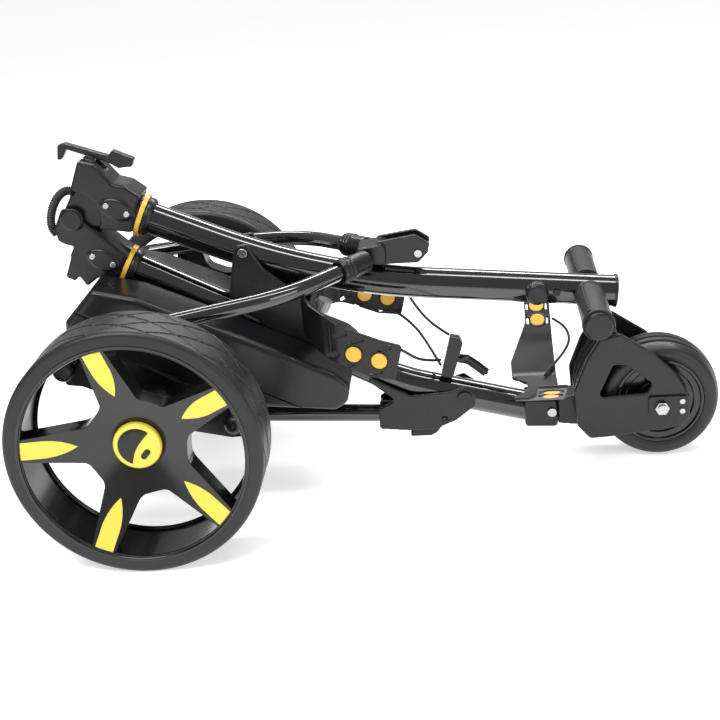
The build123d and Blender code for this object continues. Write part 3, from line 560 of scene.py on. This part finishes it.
def hub_inlay(side):
    """A dark plate whose edge is a circle, cut by a bulging line past the button."""
    low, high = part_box(f"rear_hub_cap_{side}")
    sign = -1 if side == "right" else 1
    face = low.y if sign < 0 else high.y
    centre = Vector(((low.x + high.x) / 2, face, (low.z + high.z) / 2))
    outline = []
    for i in range(33):
        angle = INLAY_FROM + (INLAY_TO - INLAY_FROM) * i / 32
        outline.append((INLAY_R * math.cos(angle), INLAY_R * math.sin(angle)))
    for i in range(1, 16):
        t = i / 16
        x = -0.0077 + (0.0160 + 0.0077) * t - 0.0048 * math.sin(math.pi * t)
        z = -0.0222 + (0.0172 + 0.0222) * t
        outline.append((x, z))
    count = len(outline)
    middle_x = sum(p[0] for p in outline) / count
    middle_z = sum(p[1] for p in outline) / count
    rows = []
    for shrink, lift in ((1.0, -0.0004), (1.0, 0.0005), (0.97, 0.0008), (0.5, 0.0008), (0.02, 0.0008)):
        rows.append([centre + Vector((middle_x + (x - middle_x) * shrink, sign * lift,
                                      middle_z + (z - middle_z) * shrink)) for x, z in outline])
    points, faces = skin(rows, loop_columns=True)
    faces.append(tuple(4 * count + i for i in range(count)))
    faces.append(tuple(count - 1 - i for i in range(count)))
    piece_of(f"hub_inlay_{side}", points, faces, f"wheel_{side}", "black_plastic")


for wheel_side in ("right", "left"):
    hub_inlay(wheel_side)


# ---- grips: a wrap with a laced seam along the top ---------------------------------------------
LACE_PITCH = 0.0070


GRIP_RING = [(-0.0022, -0.0006), (-0.0022, 0.0006), (-0.0010, 0.0013), (0.0010, 0.0013), (0.0022, 0.0006),
             (0.0022, -0.0006)]
SEAM_LEAN = math.radians(38)
SEAM_EDGE = 0.2                 # half the seam's width, as an angle round the grip


def grip_seam(sign):
    """The crossing laces and the two edges of the wrap, and a ring at each end of the grip."""
    low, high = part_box("grips")
    centre_z = (low.z + high.z) / 2
    centre_x = (low.x + high.x) / 2
    radius = (high.z - low.z) / 2
    start, end = 0.0290, high.y - 0.0040
    steps = int((end - start) / LACE_PITCH)
    laces = []
    for k in range(steps):
        for flip in (-1, 1):
            path = []
            for j in range(7):
                t = j / 6
                angle = SEAM_LEAN + flip * (t - 0.5) * 0.36
                y = start + (k + t) * LACE_PITCH
                lift = radius + 0.0005 + 0.0005 * math.sin(math.pi * t)
                path.append(Vector((centre_x - lift * math.sin(angle), sign * y,
                                    centre_z + lift * math.cos(angle))))
            laces.append(tube_along(path, 0.0010, sides=6))
    for edge in (-SEAM_EDGE, SEAM_EDGE):
        aside = (radius + 0.0002) * math.sin(SEAM_LEAN + edge)
        above = (radius + 0.0002) * math.cos(SEAM_LEAN + edge)
        path = [Vector((centre_x - aside, sign * y, centre_z + above)) for y in crowd(start, end, 21)]
        laces.append(tube_along(path, 0.0008, sides=6))
    piece_of(f"grip_lace_{sign}", *joined(*laces), "handle", "grip_leather")
    for y in (0.0262, high.y - 0.0016):
        profile = [(along, radius + out) for along, out in GRIP_RING]
        place = Vector((centre_x, sign * y, centre_z))
        ring = turned(profile, place, Vector((0, 1, 0)), steps=64, closed=True)
        piece_of(f"grip_ring_{sign}_{round(y * 1000)}", *ring, "handle", "grip_leather")


for grip_sign in (-1, 1):
    grip_seam(grip_sign)


# ---- rear wheels: deep walls behind the spokes' edges ---------------------------------------
SPOKES = 5
SPOKE_TURN = math.radians(31.2)
SPOKE_WALL = 0.0022             # thickness of a wall
SPOKE_DEEP = 0.030              # how far it reaches back from the spoke's face
HUB_FLAT_R = 0.030
HUB_SLOPE = 0.3165              # outward rise of the spokes per length, from the hub to the barrel


def spoke_outline(inset):
    """Five tapering spokes that flare together round the hub, drawn about the axle."""
    corners = []
    for i in range(SPOKES):
        turn = SPOKE_TURN + 2 * math.pi * i / SPOKES
        for reach, half, soft in ((0.060, -0.023, 0.009), (0.1405, -0.014, 0.0006), (0.1405, 0.014, 0.0006),
                                  (0.060, 0.023, 0.009)):
            wide = half - math.copysign(inset, half)
            corners.append((reach * math.cos(turn) - wide * math.sin(turn),
                            reach * math.sin(turn) + wide * math.cos(turn), soft))
    return softened(corners, 0.005, steps=6)


def spoke_walls(side):
    """A thin wall all round the five spokes, reaching back from their edges."""
    low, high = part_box(f"rear_rim_{side}")
    sign = -1 if side == "right" else 1
    cap_low, cap_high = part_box(f"rear_hub_cap_{side}")
    hub_face = min(abs(cap_low.y), abs(cap_high.y)) - 0.001
    centre = Vector(((low.x + high.x) / 2, 0, (low.z + high.z) / 2))

    def row(outline, back):
        made = []
        for p in outline:
            rise = max(0.0, p.length - HUB_FLAT_R) * HUB_SLOPE
            made.append(centre + Vector((p.x, sign * (hub_face + rise - back), p.y)))
        return made

    outer = spoke_outline(0.0001)
    inner = spoke_outline(SPOKE_WALL)
    rows = [row(outer, 0.0010), row(outer, SPOKE_DEEP), row(inner, SPOKE_DEEP), row(inner, 0.0010)]
    points, faces = skin(rows, loop_rows=True, loop_columns=True)
    piece_of(f"spoke_walls_{side}", points, faces, f"wheel_{side}", "rim_plastic", sharp=math.radians(30))


for wheel_side in ("right", "left"):
    spoke_walls(wheel_side)


# ---- ribbed tail of the buckle's strap --------------------------------------------------------
STRAP_ROUTE = [(0.3900, 0.1485), (0.4010, 0.1460), (0.4130, 0.1370), (0.4260, 0.1255)]
STRAP_Y = -0.008
STRAP_HALF = 0.0062
STRAP_THICK = 0.0011


def strap_tail():
    """A flat woven strap with cross ribs, its face turned to the right-hand side."""
    line = smooth_line([Vector((x, 0, z)) for x, z in STRAP_ROUTE], 33)
    rows = []
    for i, here in enumerate(line):
        along = (line[min(i + 1, 32)] - line[max(i - 1, 0)]).normalized()
        wide = Vector((-along.z, 0, along.x)) * STRAP_HALF
        thick = STRAP_THICK + (0.0004 if i % 2 else 0.0)
        corners = [(-1, -1), (1, -1), (1, 1), (-1, 1)]
        rows.append([at(here.x + a * wide.x, STRAP_Y + c * thick, here.z + a * wide.z) for a, c in corners])
    points, faces = skin(rows, loop_columns=True)
    faces += [(0, 1, 2, 3), tuple(len(points) - 1 - k for k in range(4))]
    piece_of("strap_tail", points, faces, "main_frame", "elastic_cord", sharp=math.radians(20))


strap_tail()


# ---- backing plates in the upper arms' slots -----------------------------------------------------
# place along the trolley, distance from the mid-plane, lower edge, upper edge
ARM_BACK = [(0.2270, 0.1165, 0.2030, 0.2450), (0.2450, 0.1186, 0.1890, 0.2370),
            (0.2690, 0.1216, 0.1810, 0.2290), (0.2920, 0.1245, 0.1745, 0.2210),
            (0.3080, 0.1265, 0.1735, 0.2150)]
ARM_BACK_THICK = 0.0006


def arm_backing(sign):
    """A thin dark web inside an arm, so that its slots are shallow recesses."""
    rows = []
    for x, y, low, high in ARM_BACK:
        rows.append([at(x, sign * (y - ARM_BACK_THICK), low), at(x, sign * (y + ARM_BACK_THICK), low),
                     at(x, sign * (y + ARM_BACK_THICK), high), at(x, sign * (y - ARM_BACK_THICK), high)])
    points, faces = skin(rows, loop_columns=True)
    faces += [(0, 1, 2, 3), tuple(len(points) - 1 - k for k in range(4))]
    piece_of(f"arm_backing_{sign}", points, faces, "main_frame", "black_plastic")


for arm_sign in (-1, 1):
    arm_backing(arm_sign)


# ---- oval release buttons ---------------------------------------------------------------------------
BUTTON_STEPS = 40
BUTTON_HALF = 0.0035            # half the oval's width
BUTTON_REACH = 0.00375          # from its middle to the centre of each round end
BUTTON_SLANT = math.radians(48)


def release_button(side):
    """A domed black oval, slanted, standing a little proud of the hub cap."""
    low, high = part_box(f"rear_release_button_{side}")
    sign = -1 if side == "right" else 1
    face = low.y if sign < 0 else high.y
    centre = Vector(((low.x + high.x) / 2, face, (low.z + high.z) / 2))
    along = Vector((math.cos(BUTTON_SLANT), 0, math.sin(BUTTON_SLANT)))
    beside = Vector((-along.z, 0, along.x))
    rows = []
    for shrink, lift in ((1.0, -0.0060), (1.0, 0.0002), (0.92, 0.0008), (0.6, 0.0012), (0.05, 0.0013)):
        row = []
        for i in range(BUTTON_STEPS):
            turn = 2 * math.pi * i / BUTTON_STEPS
            stretch = math.copysign(BUTTON_REACH, math.cos(turn)) + BUTTON_HALF * math.cos(turn)
            spread = along * stretch + beside * BUTTON_HALF * math.sin(turn)
            row.append(centre + Vector((0, sign * lift, 0)) + spread * shrink)
        rows.append(row)
    points, faces = skin(rows, loop_columns=True)
    faces += [tuple(range(BUTTON_STEPS)), tuple(len(points) - 1 - k for k in range(BUTTON_STEPS))]
    piece_of(f"release_dome_{side}", points, faces, f"release_{side}", "black_plastic",
             [f"rear_release_button_{side}"])


for wheel_side in ("right", "left"):
    release_button(wheel_side)


# ---- raised borders round the golden pads --------------------------------------------------------
COLLAR = [(0.0024, 0.0002), (0.0006, 0.0002), (0.0003, 0.0010), (0.0006, 0.0018), (0.0024, 0.0018)]


def pad_collars():
    """A thin raised ring round each pad of both cradles, on the bag's side and the other."""
    for node in ("upper_cradle_pads", "lower_cradle_pads"):
        data = nodes[node].data
        place = nodes[node].matrix_world
        groups = islands(data)
        rings = []
        for group in groups:
            spots = [place @ data.vertices[i].co for i in group]
            centre = sum(spots, Vector()) / len(spots)
            axis = thin_axis(spots, centre)
            half = max(abs((p - centre).dot(axis)) for p in spots)
            reach = max((p - centre - axis * (p - centre).dot(axis)).length for p in spots)
            for sign in (-1, 1):
                profile = [(sign * (half - down), reach + out) for down, out in COLLAR]
                rings.append(turned(profile, centre, axis, steps=40, closed=True))
        piece_of(node + "_collars", *joined(*rings), "main_frame", "black_plastic")


def islands(data):
    """Groups of vertices, one for each separate part of a mesh."""
    parent = list(range(len(data.vertices)))

    def root(i):
        while parent[i] != i:
            parent[i] = parent[parent[i]]
            i = parent[i]
        return i

    for edge in data.edges:
        a, b = edge.vertices
        parent[root(a)] = root(b)
    twins = {}
    for vertex in data.vertices:
        key = tuple(round(c, 5) for c in vertex.co)
        if key in twins:
            parent[root(vertex.index)] = root(twins[key])
        twins[key] = vertex.index
    groups = {}
    for i in range(len(parent)):
        groups.setdefault(root(i), []).append(i)
    return list(groups.values())


def thin_axis(spots, centre):
    """The direction in which a flat round group of points is thinnest."""
    offsets = numpy.array([tuple(p - centre) for p in spots])
    values, ways = numpy.linalg.eigh(offsets.T @ offsets)
    return Vector(ways[:, 0]).normalized()


pad_collars()


# ---- dark collars where the tubes leave the golden rings -------------------------------------------
COLLAR_PROFILE = [(0, 0.0214), (0, 0.0262), (0.0012, 0.0268), (0.0060, 0.0266), (0.0095, 0.0240),
                  (0.0100, 0.0214)]


def tube_collar(name, top, bend, away, body):
    """A tapered collar round a tube, from a golden ring's outer face."""
    start = at(top[0], 0, top[1])
    way = (at(bend[0], 0, bend[1]) - start).normalized()
    collar = turned(COLLAR_PROFILE, start + way * away, way, steps=72, closed=True)
    piece_of(name, *collar, body, "black_plastic")


tube_collar("upper_tube_collar", (-0.0620, 0.3905), (0.2060, 0.2713), 0.0482, "handle")
tube_collar("lower_tube_collar", (-0.0780, 0.3192), (0.3090, 0.1160), 0.0362, "main_frame")


# ---- cords ------------------------------------------------------------------------------
CORD_D = 0.004


def cord(node, body, route):
    """A free elastic cord along the smooth line of its route, tied to the object at both ends."""
    curve = bpy.data.curves.new(node + "_line", "CURVE")
    curve.dimensions = "3D"
    line = curve.splines.new("NURBS")
    line.points.add(len(route) - 1)
    for point, place in zip(line.points, route):
        point.co = (*at(*place), 1)
    line.order_u = 3
    line.use_endpoint_u = True
    line.resolution_u = 12
    curve.bevel_depth = CORD_D / 2
    curve.bevel_resolution = 6
    curve.use_fill_caps = True
    piece = bpy.data.objects.new(node + "_line", curve)
    scene.collection.objects.link(piece)
    curve.materials.append(FINISHES["elastic_cord"])
    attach(piece, body)
    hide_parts(node)


cord("upper_cord_right", "main_frame",
     [(0.3185, -0.1240, 0.2090), (0.3254, -0.1060, 0.1970), (0.3332, -0.0860, 0.1830),
      (0.3410, -0.0660, 0.1720), (0.3480, -0.0460, 0.1630), (0.3560, -0.0280, 0.1550),
      (0.3640, -0.0140, 0.1500)])
cord("upper_cord_left", "main_frame",
     [(0.3010, 0.1220, 0.1740), (0.3100, 0.1060, 0.1740), (0.3200, 0.0900, 0.1710),
      (0.3310, 0.0720, 0.1660), (0.3410, 0.0540, 0.1580), (0.3500, 0.0360, 0.1490),
      (0.3580, 0.0160, 0.1420), (0.3640, -0.0020, 0.1380)])
cord("upper_cord_top", "main_frame",
     [(0.3140, 0.1230, 0.2130), (0.3200, 0.1050, 0.2075), (0.3290, 0.0860, 0.1990),
      (0.3400, 0.0660, 0.1900), (0.3520, 0.0460, 0.1840), (0.3650, 0.0250, 0.1805),
      (0.3770, 0.0060, 0.1790)])
cord("lower_cord", "main_frame",
     [(0.5266, 0.1380, 0.1470), (0.5400, 0.1270, 0.1420), (0.5480, 0.1120, 0.1330),
      (0.5470, 0.0950, 0.1245), (0.5380, 0.0780, 0.1170), (0.5270, 0.0600, 0.1115),
      (0.5160, 0.0440, 0.1065), (0.5080, 0.0280, 0.1025)])


# ---- floor and light --------------------------------------------------------------------
FLOOR_GLOW = 0.55                # keeps the far floor as pale as the background


def make_floor():
    """A plain pale floor."""
    bpy.ops.mesh.primitive_plane_add(size=20, location=(0, 0, -0.0005))
    floor = bpy.context.object
    floor.name = "floor"
    paper = finish_of("paper", (0.90, 0.90, 0.90), 0.7, tint=0.02, tint_scale=2.0, grain=60, bump=0.02)
    shader = next(node for node in paper.node_tree.nodes if node.type == "BSDF_PRINCIPLED")
    shader.inputs["Emission Color"].default_value = (1, 1, 1, 1)
    shader.inputs["Emission Strength"].default_value = FLOOR_GLOW
    floor.data.materials.append(paper)


def area_light(name, place, target, width, height, power):
    """A soft rectangular light aimed at a point."""
    data = bpy.data.lights.new(name, "AREA")
    data.shape = "RECTANGLE"
    data.size = width
    data.size_y = height
    data.energy = power
    lamp = bpy.data.objects.new(name, data)
    lamp.location = place
    lamp.rotation_euler = (Vector(target) - Vector(place)).to_track_quat("-Z", "Y").to_euler()
    scene.collection.objects.link(lamp)


make_floor()
area_light("key", (-0.9, -1.7, 2.3), (0, 0, 0.2), 1.5, 0.7, 46)
area_light("fill", (1.9, -1.8, 1.1), (0, 0, 0.2), 1.2, 1.2, 14)
area_light("back", (0.2, 1.7, 1.9), (0, 0, 0.2), 2.6, 0.35, 46)
area_light("top", (0.0, -0.3, 2.6), (0, 0, 0), 2.6, 0.35, 34)

scene.view_settings.view_transform = "Standard"
scene.view_settings.look = "None"

WHITE_SEEN = 1.0                # what the camera sees behind the object
WHITE_LIT = 0.42                # how strongly the surroundings light it
world = bpy.data.worlds.new("studio")
world.use_nodes = True
tree = world.node_tree
sky = tree.nodes["Background"]
sky.inputs["Color"].default_value = (1, 1, 1, 1)
seen = add(tree, "ShaderNodeLightPath")
level = add(tree, "ShaderNodeMapRange")
level.inputs["To Min"].default_value = WHITE_LIT
level.inputs["To Max"].default_value = WHITE_SEEN
tree.links.new(seen.outputs["Is Camera Ray"], level.inputs["Value"])
tree.links.new(level.outputs["Result"], sky.inputs["Strength"])
scene.world = world
